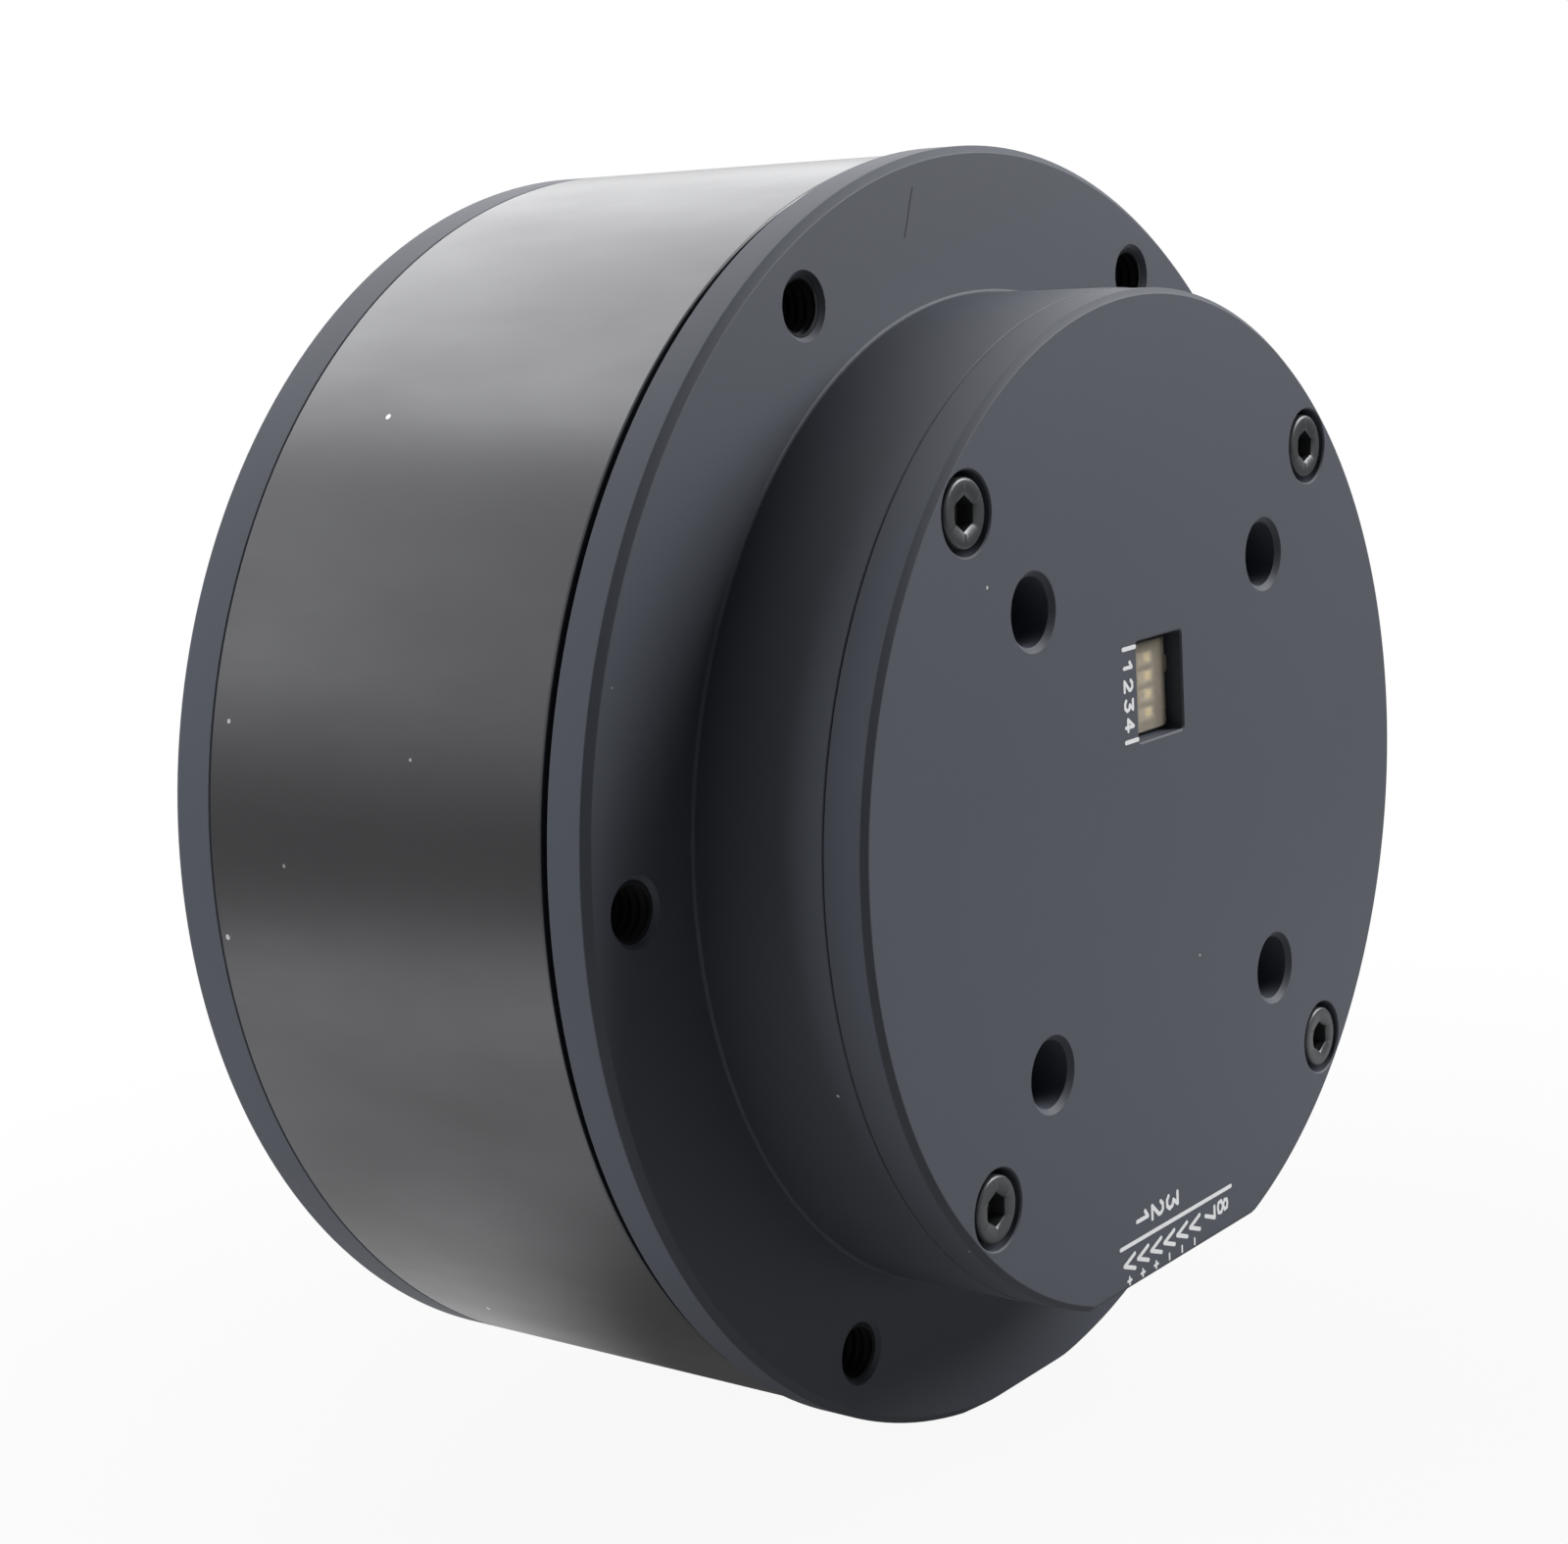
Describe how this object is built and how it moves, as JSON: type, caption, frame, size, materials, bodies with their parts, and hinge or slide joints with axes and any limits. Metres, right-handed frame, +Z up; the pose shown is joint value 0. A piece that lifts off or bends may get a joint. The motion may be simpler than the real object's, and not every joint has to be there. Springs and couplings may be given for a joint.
{
  "type": "robot joint actuator",
  "caption": "Pancake outer-rotor joint actuator: drum and output plate turn round a bolted flange whose boss holds a driver board behind a screwed cover.",
  "frame": {"origin": "on the shaft's axis, in the plane of the flange face with the six threaded holes", "axes": "+Y along the shaft towards the output plate, -Z towards the flat with the connectors, +Z up"},
  "size_m": [0.09, 0.05, 0.0897],
  "materials": {
    "black_anodised": "fine bead-blasted black anodising on aluminium",
    "blackened_steel": "turned steel, blackened, satin with faint smears",
    "black_screw": "black-oxide steel",
    "bright_steel": "ground steel",
    "board_laminate": "solder-masked laminate",
    "chip_black": "moulded epoxy",
    "thermal_pad": "soft silicone pad",
    "capacitor_can": "drawn aluminium can",
    "switch_body": "moulded, seen through an amber film",
    "switch_slider": "pale moulded nylon",
    "amber_tape": "polyimide film",
    "connector_plastic": "moulded nylon",
    "gilt_pin": "plated",
    "lamination_steel": "stacked laminations",
    "enamelled_copper": "enamelled copper wire",
    "insulator_plastic": "moulded nylon",
    "lead_sleeve": "silicone sleeve",
    "cage_brass": "pressed brass",
    "plated_magnet": "nickel plate"
  },
  "bodies": {
    "stator": {"mounting_base": "black_anodised", "rear_cover": "black_anodised", "cover_screws": "black_screw", "board_screws": "bright_steel", "driver_board": "board_laminate", "mosfets": "chip_black", "thermal_pads": "thermal_pad", "bulk_capacitors": "capacitor_can", "microcontroller": "chip_black", "gate_driver": "chip_black", "position_sensor": "chip_black", "dip_switch_body": "switch_body", "dip_seal_tape": "amber_tape", "power_connector": "connector_plastic", "power_pins": "gilt_pin", "signal_connector": "connector_plastic", "signal_pins": "gilt_pin", "stator_core": "lamination_steel", "stator_windings": "enamelled_copper", "rear_insulator": "insulator_plastic", "front_insulator": "insulator_plastic", "phase_leads": "lead_sleeve", "bearing_outer_ring": "bright_steel", "bearing_retainer": "black_screw"},
    "rotor": {"rotor_cap": "black_anodised", "rotor_yoke": "blackened_steel", "rotor_magnets": "plated_magnet", "rotor_shaft": "bright_steel", "shaft_screws": "black_screw", "shaft_retaining_ring": "black_screw", "magnet_holder": "cage_brass", "encoder_magnet": "plated_magnet", "bearing_inner_ring": "bright_steel"},
    "roller_set": {"bearing_rollers": "bright_steel", "bearing_spacers": "insulator_plastic"},
    "slider_1": {"dip_slider_1": "switch_slider"},
    "slider_2": {"dip_slider_2": "switch_slider"},
    "slider_3": {"dip_slider_3": "switch_slider"},
    "slider_4": {"dip_slider_4": "switch_slider"}
  },
  "joints": [
    {"name": "rotor_spin", "type": "hinge", "parent": "stator", "child": "rotor", "pos_m": [0, 0, 0], "axis": [0, 1, 0], "continuous": true},
    {"name": "rollers_roll", "type": "hinge", "parent": "stator", "child": "roller_set", "pos_m": [0, 0.0235, 0], "axis": [0, 1, 0], "continuous": true},
    {"name": "switch_1", "type": "slide", "parent": "stator", "child": "slider_1", "axis": [-1, 0, 0], "range_m": [0, 0.0009]},
    {"name": "switch_2", "type": "slide", "parent": "stator", "child": "slider_2", "axis": [-1, 0, 0], "range_m": [0, 0.0009]},
    {"name": "switch_3", "type": "slide", "parent": "stator", "child": "slider_3", "axis": [-1, 0, 0], "range_m": [0, 0.0009]},
    {"name": "switch_4", "type": "slide", "parent": "stator", "child": "slider_4", "axis": [-1, 0, 0], "range_m": [0, 0.0009]}
  ],
  "couplings": [
    {"joint": "rollers_roll", "follows": "rotor_spin", "ratio": 0.5}
  ]
}
